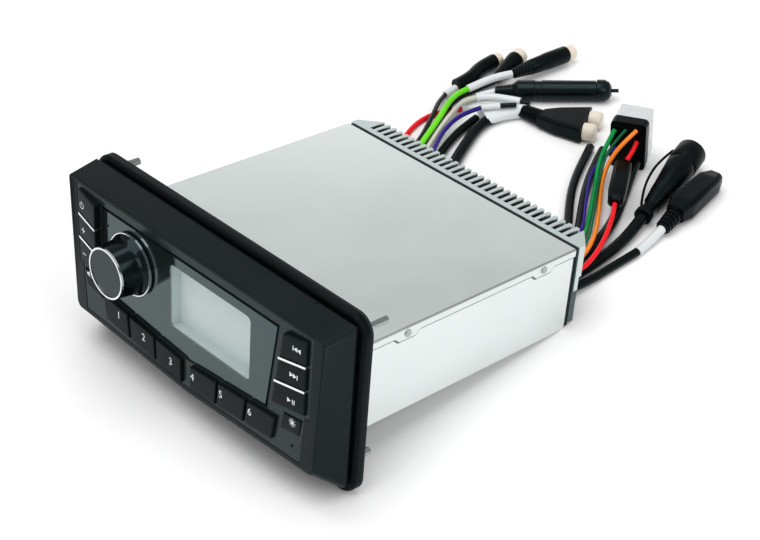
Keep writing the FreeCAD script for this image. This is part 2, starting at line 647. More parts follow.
def bank_outline(order, inner_top, inner_low):
    """Side keys: three in a stack, whose edges fall towards the middle, with room for the bars between."""
    room = bar_thick / 2 + key_play
    tops = [bank_top, bank_split_one - room, bank_split_two - room]
    lows = [bank_split_one + room, bank_split_two + room, bank_low]
    top, low = tops[order], lows[order]
    inner_upper = inner_at(top - bank_fall, inner_top, inner_low)
    inner_lower = inner_at(low - bank_fall, inner_top, inner_low)
    return [(inner_lower, low - bank_fall), (bank_outer, low), (bank_outer, top),
        (inner_upper, top - bank_fall)]


def inner_at(height, inner_top, inner_low):
    """Where the inner edge of a side key stands at a height."""
    share = (height - bank_low + bank_fall) / (bank_top - bank_low)
    return inner_low + share * (inner_top - inner_low)


def flat_outline():
    lower = flat_key_top - flat_key_height
    return [
        (flat_key_inner - flat_key_lean, lower - flat_key_fall), (flat_key_outer - flat_key_lean, lower),
        (flat_key_outer, flat_key_top), (flat_key_inner, flat_key_top - flat_key_fall),
    ]


left_bank = [mirrored(bank_outline(order, left_inner, left_inner)) for order in range(3)]
right_bank = [bank_outline(order, right_inner_top, right_inner_low) for order in range(3)]
key_outlines = {f"preset_key_{number}": preset_outline(number) for number in range(1, 7)}
key_outlines |= dict(zip(("source_key", "level_up_key", "level_down_key"), left_bank))
key_outlines |= dict(zip(("previous_key", "next_key", "play_key"), right_bank))
key_outlines |= {"mute_key": mirrored(flat_outline()), "dimmer_key": flat_outline()}
slanted = ("source_key", "level_up_key", "level_down_key", "previous_key", "next_key", "play_key")


def spread(loop, outwards, outer_side=True, lower_side=True):
    """An outline with its corners moved out from its middle; the outer or the lower side may stay."""
    middle_across = sum(float(across) for across, up in loop) / len(loop)
    middle_up = sum(float(up) for across, up in loop) / len(loop)
    result = []
    for across, up in loop:
        across, up = sized(across), sized(up)
        sideways = 1 if float(across) > middle_across else -1
        upwards = 1 if float(up) > middle_up else -1
        if outer_side or sideways * middle_across < 0:
            across = across + sideways * sized(outwards)
        if lower_side or upwards > 0:
            up = up + upwards * sized(outwards)
        result.append((across, up))
    return result


keys = {}
for name, outline in key_outlines.items():
    key = new_body(name)
    keys[name] = key
    if name.startswith("preset"):
        face = preset_face
    elif name in slanted:
        face = bank_face + bank_slant / 2
    else:
        face = flat_key_face
    pad(key, "front", key_rear, face, [outline])
    if name in slanted:
        side = -1 if name in ("source_key", "level_up_key", "level_down_key") else 1
        outer = side * (bank_outer + 1)
        inner = side * (left_inner if side < 0 else right_inner_low) - side
        wedge = [(outer, -face - 1), (outer, -face + bank_slant), (inner, -face), (inner, -face - 1)]
        cut(key, "top", bank_low - bank_fall - 2, bank_top + 2, [wedge])
    front_of_fascia = float(fascia_face)
    soften(key, key_edge,
        lambda edge: edge.BoundBox.YMax < -front_of_fascia - 0.2 and not runs_along(edge, 1))
    if name.startswith("preset"):
        foot = spread(outline, key_foot, lower_side=False)
    else:
        foot = spread(outline, key_foot, outer_side=False)
    pad(key, "front", fascia_rear - foot_gap - key_foot_thick, fascia_rear - foot_gap, [foot])
    single(key)

# Trim bars between the side keys, which thicken towards the middle
bars = []
for inner_top, inner_low, side in ((left_inner, left_inner, -1), (right_inner_top, right_inner_low, 1)):
    for split in (bank_split_one, bank_split_two):
        half_bar = bar_thick / 2
        inner_end = inner_at(split - bank_fall, inner_top, inner_low)
        bar = new_body("Bar")
        loop = [(inner_end, split - bank_fall - half_bar), (bank_outer, split - half_bar),
                (bank_outer, split + half_bar), (inner_end, split - bank_fall + half_bar)]
        face = bank_face + bank_slant / 2 + bar_proud
        pad(bar, "front", fascia_face, face, [loop if side > 0 else mirrored(loop)])
        outer = side * (bank_outer + 1)
        inner = side * (inner_low - 1)
        wedge = [(outer, -face - 1), (outer, -face + bank_slant), (inner, -face), (inner, -face - 1)]
        cut(bar, "top", bank_low - bank_fall - 2, bank_top + 2, [wedge])
        bars.append(bar)
group("key_trim_bars", bars)

# Lens, display and fascia
lens_rear = lens_face - lens_thick
lens_outline = [
    (lens_left, lens_low + row_slope * -lens_left), (0, lens_low),
    (lens_right_low, lens_low + row_slope * lens_right_low),
    (lens_right_top, lens_top), (lens_left, lens_top),
]
window = rectangle(window_left, window_right, window_low, window_top)
window_middle = (window_left + window_right) / 2, (window_low + window_top) / 2


def window_sized(outwards):
    return rectangle(window_left - outwards, window_right + outwards, window_low - outwards,
        window_top + outwards)


lens = new_body("lens_plate")
pad(lens, "front", lens_rear, lens_face, [lens_outline])
cut(lens, "front", lens_rear - 1, lens_face + 1, [window])
window_half_width = float(window_right - window_left) / 2
soften(lens, window_corner, lambda edge: runs_along(edge, 1)
       and abs(abs(edge.CenterOfMass.x - float(window_middle[0])) - window_half_width) < 0.01)
cut(lens, "front", lens_rear - 1, lens_face + 1, [], [(knob_side, knob_height, bush_radius + bush_play)])
single(lens)

pane = new_body("display_window")
pad(pane, "front", lens_rear, lens_face, [window_sized(-pane_play)])
soften(pane, window_corner - pane_play, lambda edge: runs_along(edge, 1))
single(pane)

frame = new_body("display_frame")
pad(frame, "front", display_face, lens_rear, [window_sized(display_wall)])
cut(frame, "front", display_face - 1, lens_rear + 1, [window])
single(frame)

display = new_body("display_module")
pad(display, "front", display_rear, display_face, [window_sized(display_wall + display_margin)])
single(display)

fascia = new_body("fascia_panel")
pad(fascia, "front", fascia_rear, fascia_face, [fascia_outline])
slot_right = lens_fit + lens_slot
lens_seat = [
    (lens_left - lens_fit, lens_low + row_slope * -lens_left - lens_fit), (0, lens_low - lens_fit),
    (lens_right_low + slot_right, lens_low + row_slope * lens_right_low - lens_fit),
    (lens_right_top + slot_right, lens_top + slot_right), (lens_left - lens_fit, lens_top + slot_right),
]
cut(fascia, "front", lens_rear, fascia_face + 1, [lens_seat])
cut(fascia, "front", fascia_rear - 1, fascia_face + 1, [window_sized(display_wall + lens_fit)])
for outline in key_outlines.values():
    cut(fascia, "front", fascia_rear - 1, fascia_face + 1, [spread(outline, key_play)])
cut(fascia, "front", fascia_rear - 1, fascia_face + 1, [],
    [(knob_side, knob_height, bush_radius + bush_play), (mic_side, mic_low, mic_radius)])
single(fascia)

# Boards, mat and pillars behind the fascia
board_rear = board_front - board_thick
encoder_half = encoder_width / 2
encoder_box = rectangle(knob_side - encoder_half, knob_side + encoder_half,
                        knob_height - encoder_half, knob_height + encoder_half)
pillar_places = [(side * pillar_side, up) for side in (-1, 1) for up in (pillar_low, pillar_top)]

front_board = new_body("front_board")
pad(front_board, "front", board_rear, board_front,
    [rectangle(-front_board_half, front_board_half, front_board_low, front_board_top)])
cut(front_board, "front", board_rear - 1, board_front + 1, [],
    [(across, up, screw_radius + screw_play) for across, up in pillar_places])
single(front_board)

mat = new_body("keypad_mat")
mat_half = front_board_half - mat_margin
pad(mat, "front", board_front, mat_front,
    [rectangle(-mat_half, mat_half, front_board_low + mat_margin, front_board_top - mat_margin)])
cut(mat, "front", board_front - 1, mat_front + 1, [window_sized(display_wall + display_margin + lens_fit)])
cut(mat, "front", board_front - 1, mat_front + 1,
    [[(across + (sized(lens_fit) if float(across) > float(knob_side) else -lens_fit),
       up + (sized(lens_fit) if float(up) > float(knob_height) else -lens_fit))
       for across, up in encoder_box]])
cut(mat, "front", board_front - 1, mat_front + 1, [],
    [(across, up, screw_head + screw_play) for across, up in pillar_places])
single(mat)

pillars = []
for across, up in pillar_places:
    pillar = new_body("Pillar")
    pad(pillar, "front", flange_front, board_rear, [], [(across, up, pillar_radius)])
    cut(pillar, "front", board_rear - pillar_thread, board_rear + 1, [],
        [(across, up, screw_radius + thread_play)])
    pillars.append(pillar)

front_screws = []
for across, up in pillar_places:
    shank = rod(screw_radius, board_rear - pillar_thread + 0.2, board_front, "front", across, up)
    head = rod(screw_head, board_front, board_front + frame_screw_head, "front", across, up)
    front_screws.append(fused(shank, head))

# Encoder: a housing on the board, a plunger that the push moves, and a shaft that turns on it
encoder_front = board_front + encoder_thick
bush_front = encoder_front + bush_length
plunger_rear = board_front + encoder_floor + plunger_room + push_travel
plunger_front = plunger_rear + plunger_length
encoder = new_body("encoder_housing")
pad(encoder, "front", board_front, encoder_front, [encoder_box])
pad(encoder, "front", encoder_front, bush_front, [], [(knob_side, knob_height, bush_radius)])
cut(encoder, "front", board_front + encoder_floor, plunger_front + plunger_room, [],
    [(knob_side, knob_height, plunger_radius + plunger_play)])
cut(encoder, "front", board_front + encoder_floor, bush_front + 1, [],
    [(knob_side, knob_height, shaft_radius + shaft_play)])
single(encoder)
group("encoder_plunger", [rod(plunger_radius, plunger_rear, plunger_front, "front", knob_side, knob_height)])
shaft_front = knob_front - shaft_top
group("encoder_shaft", [rod(shaft_radius, plunger_front, shaft_front, "front", knob_side, knob_height)])


# Knob: a turned skirt with a hub on the shaft, a ring at each end and a disc in its face
def turned(label, profile):
    """A solid turned about the knob's axis from a profile of (radius, distance in front of the panel)."""
    body = new_body(label)
    feature = body.newObject("PartDesign::Revolution", "Turned")
    loop = [(knob_side + radius, -sized(ahead)) for radius, ahead in profile]
    drawing = draw(body, "top", knob_height, [loop], [])
    axis = drawing.addGeometry(Part.LineSegment(FreeCAD.Vector(float(knob_side), -float(knob_rear), 0),
                                                FreeCAD.Vector(float(knob_side), -float(knob_front), 0)),
                                                True)
    drawing.addConstraint(Sketcher.Constraint("Vertical", axis))
    for kind, target, value in (("DistanceX", (axis, 1), knob_side), ("DistanceY", (axis, 1), -knob_rear),
                                ("DistanceY", (axis, 2), -knob_front)):
        index = drawing.addConstraint(Sketcher.Constraint(kind, *target, float(value)))
        bind(drawing, f"Constraints[{index}]", value)
    feature.Profile = drawing
    feature.ReferenceAxis = (drawing, ["Axis0"])
    feature.Angle = 360
    return body


rear_ring_front = knob_rear + ring_width
front_ring_rear = knob_front - ring_width
face_front = knob_front - face_sink
face_rear = face_front - face_thick
shaft_bore = shaft_radius + thread_play
skirt_rear = knob_rear_radius - ring_thick
skirt_front = knob_front_radius - ring_thick
knob = turned("knob_body", [
    (shaft_bore, knob_rear + hub_rear), (knob_hub, knob_rear + hub_rear),
    (knob_hub, face_rear - knob_crown), (skirt_front - knob_wall, face_rear - knob_crown),
    (skirt_rear - knob_wall, knob_rear), (skirt_rear, knob_rear), (skirt_rear, rear_ring_front),
    (knob_rear_radius - ring_thick / 2, rear_ring_front), (knob_waist, rear_ring_front + knob_flare),
    (knob_front_radius, front_ring_rear), (skirt_front, front_ring_rear), (skirt_front, face_rear),
    (shaft_bore, face_rear),
])
single(knob)
rings = [
    turned("Ring", [(skirt_rear, knob_rear), (knob_rear_radius, knob_rear),
    (knob_rear_radius, rear_ring_front),
                    (skirt_rear, rear_ring_front)]),
    turned("Ring", [(skirt_front, front_ring_rear), (knob_front_radius, front_ring_rear),
                    (knob_front_radius, knob_front), (skirt_front, knob_front)]),
]
group("knob_rings", rings)
single(turned("knob_face", [(0, face_rear), (skirt_front, face_rear), (skirt_front, face_front),
    (0, face_front)]))

# Chassis: a folded tray and its cover
depth = chassis_depth
wall_in = tray_half - sheet_steel
floor_in = half_height - sheet_steel
chip_box = rectangle(-chip_width / 2 - chip_window, chip_width / 2 + chip_window,
                     chip_low - chip_window / 2, chip_low + chip_height + chip_window / 2)
ports = []
for middle in (grommet_left, grommet_right):
    ports.append(rectangle(middle - grommet_width / 2, middle + grommet_width / 2, wall_port_low,
        wall_port_top))
sink_screw_places = [(side * sink_screw_side, sink_screw_up) for side in (-1, 1)]
gland_screw_places = [(side * gland_screw_side, grommet_height) for side in (-1, 1)]
rear_screw_holes = [(across, up, screw_radius + screw_play)
    for across, up in sink_screw_places + gland_screw_places]
rivet_up = half_height - rivet_drop
rivet_places = [(front_tab, rivet_up), (rear_tab, rivet_up)]
standoff_places = [(side * board_screw_side, back) for side in (-1, 1) for back in (board_screw_front,
    board_screw_rear)]

tray = new_body("chassis_tray")
pad(tray, "front", -depth, tray_front, [[
    (-tray_half, -half_height), (tray_half, -half_height), (tray_half, floor_in), (wall_in, floor_in),
    (wall_in, -floor_in), (-wall_in, -floor_in), (-wall_in, floor_in), (-tray_half, floor_in),
]])
pad(tray, "front", tray_front - sheet_steel, tray_front, [rectangle(-wall_in, wall_in, -floor_in, floor_in)])
cut(tray, "front", tray_front - sheet_steel - 1, tray_front + 1,
    [rectangle(-window_half, window_half, -window_up, window_up)])
pad(tray, "front", -depth, sheet_steel - depth, [rectangle(-wall_in, wall_in, -floor_in, floor_in)])
cut(tray, "front", -depth - 1, sheet_steel - depth + 1, [chip_box])
cut(tray, "front", -depth - 1, sheet_steel - depth + 1, ports)
cut(tray, "front", -depth - 1, sheet_steel - depth + 1, [], rear_screw_holes)
cut(tray, "front", tray_front - sheet_steel - 1, tray_front + 1, [],
    [(across, up, screw_radius + screw_play) for across, up in flange_screw_places])
cut(tray, "side", -half_width, half_width, [],
    [(back, up, rivet_radius + rivet_play) for back, up in rivet_places])
cut(tray, "top", -half_height - 1, -floor_in + 1, [],
    [(across, back, screw_radius + screw_play) for across, back in standoff_places])
single(tray)

cover = new_body("top_cover")
lip_low = half_height - lip_drop
tab_low = half_height - tab_drop
lip_in = half_width - sheet_steel
pad(cover, "front", -depth, -cover_front, [[
    (-half_width, lip_low), (-lip_in, lip_low), (-lip_in, floor_in), (lip_in, floor_in),
    (lip_in, lip_low), (half_width, lip_low), (half_width, half_height), (-half_width, half_height),
]])
for low, high in ((-half_width, -lip_in), (lip_in, half_width)):
    for middle in (front_tab, rear_tab):
        foot_half = tab_width / 2
        head_half = foot_half + tab_slope
        pad(cover, "side", low, high, [[
            (middle - head_half, lip_low), (middle - foot_half, tab_low), (middle + foot_half, tab_low),
            (middle + head_half, lip_low),
        ]])
soften(cover, cover_bend, lambda edge: runs_along(edge, 1) and lies_at(edge, 2, half_height))
cut(cover, "side", -half_width - 1, half_width + 1, [],
    [(back, up, rivet_radius + rivet_play) for back, up in rivet_places])
single(cover)

rivets = []
for side in (-1, 1):
    for back, up in rivet_places:
        rivet = new_body("Rivet")
        inner, outer = wall_in - rivet_tail, half_width + rivet_head
        low, high = (inner, outer) if side > 0 else (-outer, -inner)
        pad(rivet, "side", low, high, [], [(back, up, rivet_radius)])
        low, high = (half_width, outer) if side > 0 else (-outer, -half_width)
        pad(rivet, "side", low, high, [], [(back, up, rivet_radius * 2)])
        rivets.append(rivet)
group("cover_rivets", rivets)

# Rear: gasket, heat sink and gland plate
seal_rear = depth + seal_thick
seal = new_body("rear_gasket")
pad(seal, "front", -seal_rear, -depth, [rectangle(-tray_half, tray_half, gland_low,
    sink_top - seal_thick / 4)])
cut(seal, "front", -seal_rear - 1, 1 - depth, [chip_box])
cut(seal, "front", -seal_rear - 1, 1 - depth, ports)
cut(seal, "front", -seal_rear - 1, 1 - depth, [], rear_screw_holes)
single(seal)

sink = new_body("heat_sink")
sink_low = sink_top - sink_height
plate_rear = seal_rear + sink_thick
fin_rear = plate_rear + fin_reach
slot_last = slot_first + fin_pitch * (slot_count - 1) + fin_slot
pad(sink, "top", sink_low, sink_top, [[
    (-half_width, seal_rear), (half_width, seal_rear), (half_width, plate_rear),
    (slot_last + gusset_step, fin_rear),
    (slot_first - gusset_step, fin_rear), (-half_width, plate_rear),
]])
pad(sink, "front", -seal_rear - web_thick, -seal_rear, [rectangle(-half_width, half_width, web_low,
    sink_low)])
first_slot = cut(sink, "top", sink_low - 1, sink_top + 1,
                 [rectangle(slot_first, slot_first + fin_slot, plate_rear - slot_sink, fin_rear + 1)])
slots = sink.newObject("PartDesign::LinearPattern", "Slots")
slots.Originals = [first_slot]
slots.Direction = ([item for item in sink.Origin.OriginFeatures if item.Role == "X_Axis"][0], [""])
bind(slots, "Length", fin_pitch * (slot_count - 1))
bind(slots, "Occurrences", slot_count)
sink.Tip = slots
cut(sink, "front", -seal_rear - web_thick - 1, 1 - seal_rear, [],
    [(across, up, screw_radius + screw_play) for across, up in sink_screw_places])
single(sink)

gland = new_body("gland_plate")
gland_rear = seal_rear + gland_thick
pad(gland, "front", -gland_rear, -seal_rear, [rectangle(-tray_half, tray_half, gland_low, gland_top)])
gland_floor = float(gland_low)
soften(gland, gland_corner, lambda edge: runs_along(edge, 1) and edge.CenterOfMass.z < gland_floor + 0.01)
grommet_ports = []
for middle in (grommet_left, grommet_right):
    reach_side = grommet_width / 2 + port_play
    reach_up = grommet_tall / 2 + port_play
    grommet_ports.append(rectangle(middle - reach_side, middle + reach_side,
                                   grommet_height - reach_up, grommet_height + reach_up))
cut(gland, "front", -gland_rear - 1, 1 - seal_rear, grommet_ports)
cut(gland, "front", -gland_rear - 1, 1 - seal_rear, [],
    [(across, up, screw_radius + screw_play) for across, up in gland_screw_places])
single(gland)

grommets = []
grommet_rear = gland_rear + grommet_reach
for middle in (grommet_left, grommet_right):
    grommet = new_body("Grommet")
    half_side = grommet_width / 2
    half_up = grommet_tall / 2
    pad(grommet, "front", -grommet_rear, -seal_rear,
        [rectangle(middle - half_side, middle + half_side, grommet_height - half_up,
        grommet_height + half_up)])
    soften(grommet, grommet_round, lambda edge: runs_along(edge, 1))
    grommets.append(grommet)
group("lead_grommets", grommets)

rear_screws = [screw(-depth + screw_reach, -seal_rear - web_thick, across, up, toward=-1)
    for across, up in sink_screw_places]
rear_screws += [screw(-depth + screw_reach, -gland_rear, across, up, toward=-1)
    for across, up in gland_screw_places]
flange_screws = [screw(flange_rear - sheet_steel - screw_reach / 2, flange_front, across, up)
                 for across, up in flange_screw_places]

# Main board on its standoffs, with the amplifier chip, the capacitors and the tuner can
board_top = main_board_low + board_thick
main_board = new_body("main_board")
pad(main_board, "top", main_board_low, board_top,
    [rectangle(-main_board_half, main_board_half, main_board_front, main_board_rear)])
cut(main_board, "top", main_board_low - 1, board_top + 1, [],
    [(across, back, screw_radius + screw_play) for across, back in standoff_places])
single(main_board)

standoffs = []
board_screws = []
for across, back in standoff_places:
    standoff = new_body("Standoff")
    pad(standoff, "top", -floor_in, main_board_low, [], [(across, back, standoff_radius)])
    cut(standoff, "top", -floor_in - 1, main_board_low + 1, [], [(across, back, screw_radius + thread_play)])
    standoffs.append(standoff)
    shank = rod(screw_radius, -floor_in + thread_play, board_top, "top", across, back)
    head = rod(screw_head, board_top, board_top + screw_head_thick, "top", across, back)
    board_screws.append(fused(shank, head))
group("board_standoffs", pillars + standoffs)

chip_front = seal_rear - chip_thick
chip = new_body("amplifier_chip")
pad(chip, "top", chip_low, chip_low + chip_height, [rectangle(-chip_width / 2, chip_width / 2, chip_front,
    seal_rear)])
first_leg = -chip_leg_pitch * (chip_leg_count - 1) / 2 - chip_leg / 2
leg = pad(chip, "top", board_top, chip_low,
          [rectangle(first_leg, first_leg + chip_leg, chip_front + chip_leg_back,
          chip_front + chip_leg_back + chip_leg)])
legs = chip.newObject("PartDesign::LinearPattern", "Legs")
legs.Originals = [leg]
legs.Direction = ([item for item in chip.Origin.OriginFeatures if item.Role == "X_Axis"][0], [""])
bind(legs, "Length", chip_leg_pitch * (chip_leg_count - 1))
bind(legs, "Occurrences", chip_leg_count)
chip.Tip = legs
single(chip)

cans = []
for order in range(int(can_count.number)):
    cans.append(rod(can_radius, board_top, board_top + can_height, "top", can_first + can_pitch * order,
        can_back))
group("reservoir_capacitors", cans)

tuner = new_body("tuner_can")
pad(tuner, "top", board_top, board_top + tuner_height,
    [rectangle(tuner_side, tuner_side + tuner_width, tuner_back, tuner_back + tuner_length)])
soften(tuner, sheet_steel, lambda edge: runs_along(edge, 2))
single(tuner)

group("assembly_screws", front_screws + flange_screws + rear_screws + board_screws)

# Stance: the unit leans back on the foot of its flange and the rear edge of its tray
lean_rise = flange_up - half_height
lean = Size(math.degrees(math.atan2(float(lean_rise), float(depth))),
    f"atan2({lean_rise.text}; {depth.text})")
lean_cos = Size(math.cos(math.radians(lean.number)), f"cos({lean.text})")
lean_sin = Size(math.sin(math.radians(lean.number)), f"sin({lean.text})")
nose = (knob_height - knob_front_radius + flange_up) * lean_sin - knob_front * lean_cos
tail = (sink_top + flange_up) * lean_sin + fin_rear * lean_cos
shift_back = flange_up * lean_sin - (nose + tail) / 2
shift_up = flange_up * lean_cos
for part in parts:
    part.Placement = FreeCAD.Placement(FreeCAD.Vector(),
        FreeCAD.Rotation(FreeCAD.Vector(-1, 0, 0), lean.number))
    bind(part, "Placement.Rotation.Angle", lean)
    bind(part, "Placement.Base.y", shift_back)
    bind(part, "Placement.Base.z", shift_up)


# Leads: they lie on the bench behind the unit, so their places are the bench's own, not the chassis'.
def on_bench(across, back, up):
    """Where a point of the chassis lies once the unit leans on the bench."""
    turn = math.radians(lean.number)
    return FreeCAD.Vector(across, back * math.cos(turn) + up * math.sin(turn) + float(shift_back),
                          -back * math.sin(turn) + up * math.cos(turn) + float(shift_up))


lead_direction = FreeCAD.Vector(0, float(lean_cos), -float(lean_sin))


def route(points, leaves=None):
    """A lead's points. One that leaves a grommet starts at its rear face and runs straight out first."""
    stops = [FreeCAD.Vector(*point) for point in points]
    if leaves:
        across, up = leaves
        start = on_bench(across, float(grommet_rear), up)
        stops = [start, start + lead_direction * float(lead_out)] + stops
    return stops


def tube(label, thickness, stops):
    """A tube of straight runs joined by tangent arcs, each as large as its two runs allow."""
    edges = []
    radii = []
    last = stops[0]
    for before, corner, after in zip(stops, stops[1:], stops[2:]):
        inward = corner - before
        outward = after - corner
        reach = 0.45 * min(inward.Length, outward.Length)
        turn = inward.getAngle(outward)
        radii.append(reach / math.tan(turn / 2))
        inward.normalize()
        outward.normalize()
        start = corner - inward * reach
        end = corner + outward * reach
        middle_way = outward - inward
        middle_way.normalize()
        sagitta = radii[-1] / math.cos(turn / 2) - radii[-1]
        edges.append(Part.LineSegment(last, start).toShape())
        edges.append(Part.Arc(start, corner + middle_way * sagitta, end).toShape())
        last = end
    edges.append(Part.LineSegment(last, stops[-1]).toShape())
    path = Part.Wire(edges)
    ring = Part.Circle(stops[0], stops[1] - stops[0], float(thickness) / 2)
    solid = path.makePipeShell([Part.Wire(ring.toShape())], True, False)
    expected = math.pi * (float(thickness) / 2) ** 2 * path.Length
    least = f"{min(radii) / float(thickness):.1f} thicknesses" if radii else "none"
    share = solid.Volume / expected
    print(f"{label}: length {path.Length:.1f} mm, tightest bend {least}, volume {share:.4f} of its path")
    feature = doc.addObject("Part::Feature", "Tube")
    feature.Label = label
    feature.Shape = solid
    return feature


def turned_between(label, start, end, profile):
    """A solid turned about the line from start to end, from a profile of (way along, radius)."""
    start, end = FreeCAD.Vector(*start), FreeCAD.Vector(*end)
    axis = end - start
    outline = [(0, profile[0][0])] + [(float(radius), float(along))
        for along, radius in profile] + [(0, profile[-1][0])]
    corners = [FreeCAD.Vector(radius, 0, float(along)) for radius, along in outline]
    face = Part.Face(Part.makePolygon(corners + corners[:1]))
    solid = face.revolve(FreeCAD.Vector(), FreeCAD.Vector(0, 0, 1), 360)
    solid.Placement = FreeCAD.Placement(start, FreeCAD.Rotation(FreeCAD.Vector(0, 0, 1), axis))
    feature = doc.addObject("Part::Feature", "Turned")
    feature.Label = label
    feature.Shape = solid
    return feature


def ribs(start, end, first_radius, last_radius, count, depth):
    """A ribbed sleeve's profile: grooves between ribs that grow from the first radius to the last."""
    profile = []
    pitch = (end - start) / count
    for order in range(count):
        share = (order + 0.5) / count
        radius = float(first_radius) + (float(last_radius) - float(first_radius)) * share
        low = start + pitch * order
        profile += [(low, radius - depth), (low + pitch * 0.4, radius - depth),
                    (low + pitch * 0.45, radius), (low + pitch * 0.95, radius)]
    return profile + [(end, float(last_radius) - depth)]


def section(centre, heading, width, height, corner):
    """A rectangle with round corners that stands across a heading, its width level."""
    way = FreeCAD.Vector(*heading)
    way.normalize()
    side = FreeCAD.Vector(0, 0, 1).cross(way)
    side.normalize()
    rise = way.cross(side)
    centre = FreeCAD.Vector(*centre)
    half_wide, half_high = float(width) / 2, float(height) / 2
    bulge = corner * (1 - math.cos(math.pi / 4))

    def spot(across, up):
        return centre + side * across + rise * up

    edges = []
    for turn_wide, turn_high, first in ((1, 1, True), (-1, 1, False), (-1, -1, True), (1, -1, False)):
        near = (turn_wide * half_wide, turn_high * (half_high - corner))
        far = (turn_wide * (half_wide - corner), turn_high * half_high)
        mid = (turn_wide * (half_wide - bulge), turn_high * (half_high - bulge))
        start, end = (near, far) if first else (far, near)
        edges.append(Part.Arc(spot(*start), spot(*mid), spot(*end)))
    shapes = []
    for arc, following in zip(edges, edges[1:] + edges[:1]):
        shapes.append(arc.toShape())
        shapes.append(Part.LineSegment(arc.EndPoint, following.StartPoint).toShape())
    return Part.Wire(shapes)


def lofted(label, stations):
    """A solid through sections of (centre, heading, width, height, corner radius)."""
    feature = doc.addObject("Part::Feature", "Lofted")
    feature.Label = label
    feature.Shape = Part.makeLoft([section(*station) for station in stations], True, True)
    return feature


lead_wires = [
    tube("red_wire", red_wire, route([
        (-90, 121, 2.1), (-100, 136, 1.7), (-108, 151, 1.7), (-112.5, 162, 1.7), (-115, 172, 1.7),
        (-114.5, 182, 1.7), (-111, 191.5, 1.7), (-105.5, 199.5, 1.7)], (-82, -17))),
    tube("brown_wire", brown_wire, route([
        (-84, 126, 8.5), (-89, 140, 7.3), (-95.5, 155, 6.8), (-103, 168, 6.7), (-111, 181, 6.2),
        (-119.5, 193, 4.4), (-124, 203, 2.8)], (-78, -9))),
    tube("lime_wire", lime_wire, route([
        (-76, 126, 11.8), (-80.5, 136, 11.2), (-87, 148, 10.6), (-93, 161, 10.2), (-99.5, 175, 10.4),
        (-107, 190, 10.9), (-112, 202, 9.2), (-113, 212.5, 7.6)], (-72, -8.5))),
    tube("grey_wire", thin_wire, route([
        (-70, 126, 11.8), (-75.5, 137, 11.2), (-82.5, 150, 10.4), (-90, 165, 10), (-96, 179, 10),
        (-101, 191, 9.4), (-104, 202, 7.8), (-103, 210, 6.4)], (-66, -8.5))),
    tube("aerial_wire", thin_wire, route([
        (-74.5, 126, 2.5), (-82, 141, 1.7), (-89.5, 156, 1.5), (-95.5, 170, 1.6), (-100.5, 184, 3.2),
        (-106.2, 198, 6.2), (-108.6, 207, 4.4), (-107.6, 214.4, 3)], (-69.5, -17))),
    tube("purple_wire", thin_wire, route([
        (-63, 126, 12.3), (-69.5, 137, 11.8), (-77, 149, 11.4), (-85, 163, 11), (-89.3, 176, 11),
        (-90.2, 188, 11), (-87.3, 198.5, 11.1)], (-59, -8.5))),
    tube("first_cream_wire", cream_wire, route([
        (39, 122, 9), (35.5, 136, 6), (31, 149.5, 3.2)], (40, -9))),
    tube("second_cream_wire", cream_wire, route([
        (45, 122, 9), (42.5, 137, 6), (38, 151, 3.4)], (45, -9))),
    tube("violet_wire", violet_wire, route([
        (50, 122, 9), (46.5, 137, 7), (41, 151, 6.8), (32.6, 162.2, 6.8), (23.2, 174, 6.8),
        (13.2, 187.3, 6.8),
        (5.8, 199.3, 7), (4.6, 210.5, 10.2), (6.6, 219.5, 14)], (50, -9))),
    tube("green_wire", thin_wire, route([
        (55.5, 122, 11), (51.5, 136, 8.8), (45.5, 148, 6.2), (36.9, 160.5, 4.2), (26.5, 175.5, 4),
        (14.8, 192, 4.4),
        (7.8, 202, 9.5), (5.6, 210, 17.5), (5.7, 218.6, 26.6)], (55, -9))),
    tube("dark_green_wire", dark_green_wire, route([
        (60, 122, 11.8), (53.5, 142, 9.8), (41.3, 159.3, 8.2), (30.3, 174.3, 6.6), (18.5, 190, 6.8),
        (11.6, 201.5, 11.8), (9.4, 209.5, 19.5), (11.6, 221.8, 27.5)], (59.5, -8.5))),
    tube("orange_wire", orange_wire, route([
        (64, 122, 11.8), (58.5, 137, 10), (50.5, 151.5, 8.4), (37, 169.5, 5), (23, 187, 4.4),
        (14.8, 199, 8.2),
        (13.6, 207, 16), (16, 215.5, 24), (17.4, 224.6, 28)], (64, -8.5))),
    tube("power_wire", thin_wire, route([
        (70, 122, 12), (66, 135, 11.8), (60.5, 148, 11.8), (54, 160, 12.2), (48.5, 169, 12.7),
        (43.7, 175.6, 13)],
        (69.5, -8.5))),
    tube("fused_wire", thin_wire, route([(20.9, 209.9, 13.5), (20.6, 217, 15.8), (17.6, 224.9, 20)])),
]
group("lead_wires", lead_wires)

